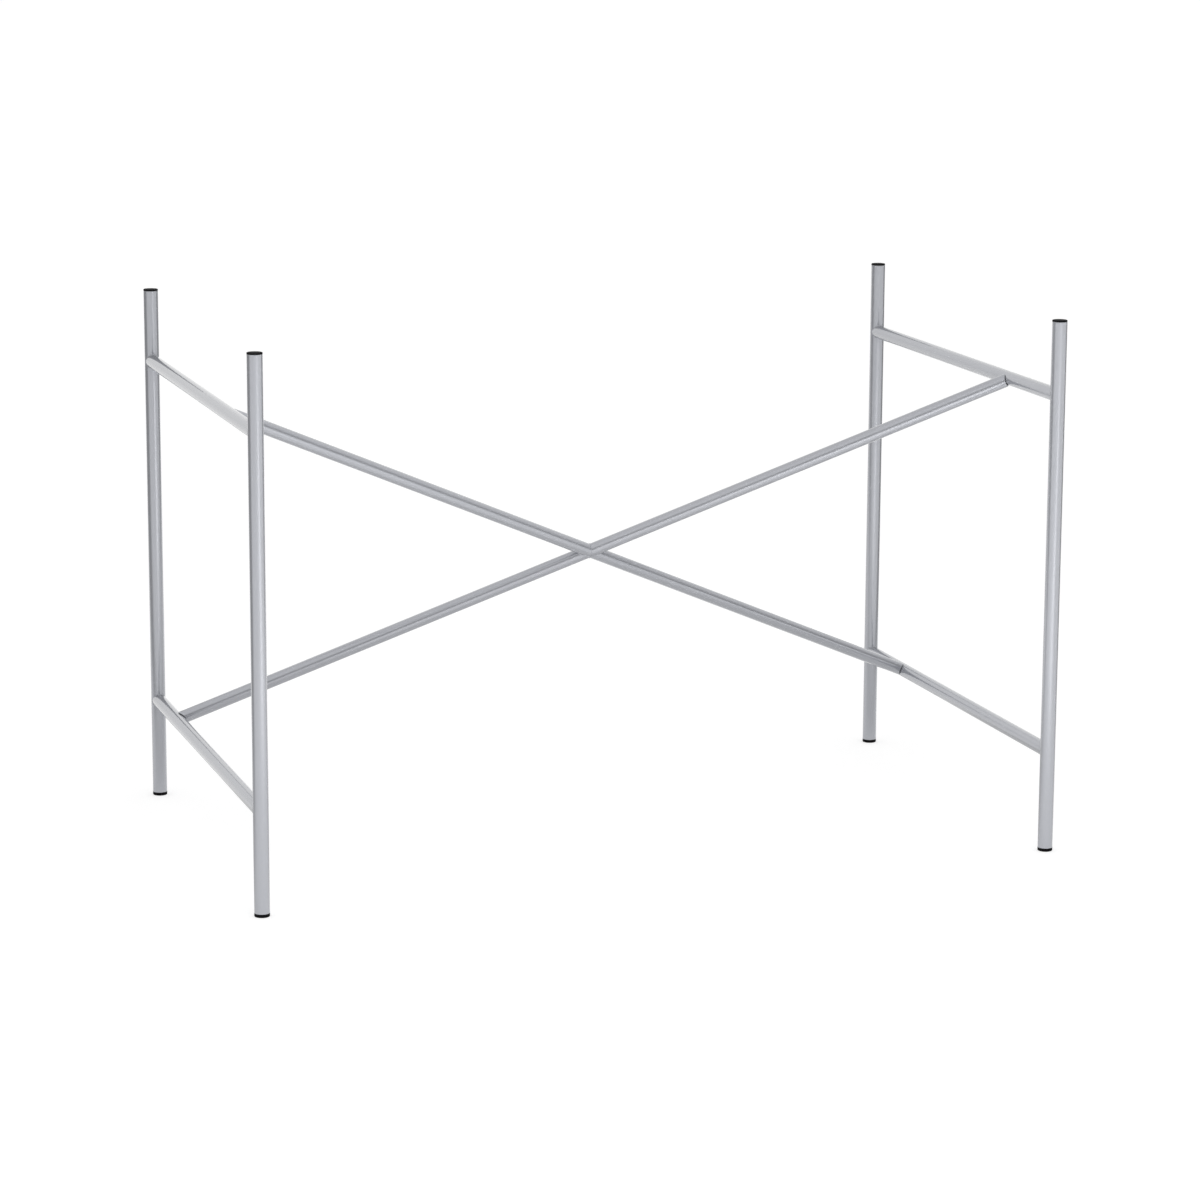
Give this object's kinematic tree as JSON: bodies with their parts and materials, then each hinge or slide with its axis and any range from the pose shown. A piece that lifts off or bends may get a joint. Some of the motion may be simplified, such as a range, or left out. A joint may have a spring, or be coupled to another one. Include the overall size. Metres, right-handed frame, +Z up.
{
  "type": "table frame",
  "caption": "Free-standing table frame of round steel tube: two welded side frames joined by a slanted crossed brace, with black end caps that carry a loose top.",
  "frame": {"origin": "on the floor, under the middle of the frame", "axes": "+X along the long side, +Y from the front to the rear, +Z up"},
  "size_m": [1.1, 0.66, 0.72],
  "materials": {
    "silver_paint": "satin",
    "black_plastic": "matte",
    "dark_steel": "blackened"
  },
  "bodies": {
    "root": {"post_front_left": "silver_paint", "cap_front_left": "black_plastic", "foot_front_left": "black_plastic", "post_front_right": "silver_paint", "cap_front_right": "black_plastic", "foot_front_right": "black_plastic", "post_rear_left": "silver_paint", "cap_rear_left": "black_plastic", "foot_rear_left": "black_plastic", "post_rear_right": "silver_paint", "cap_rear_right": "black_plastic", "foot_rear_right": "black_plastic", "rail_upper_left": "silver_paint", "insert_upper_left": "dark_steel", "rail_upper_right": "silver_paint", "insert_upper_right": "dark_steel", "rail_lower_left": "silver_paint", "insert_lower_left": "dark_steel", "rail_lower_right": "silver_paint", "insert_lower_right": "dark_steel", "brace_long": "silver_paint", "brace_half_upper": "silver_paint", "brace_half_lower": "silver_paint", "brace_screws": "dark_steel", "hole_covers": "silver_paint"}
  },
  "joints": []
}
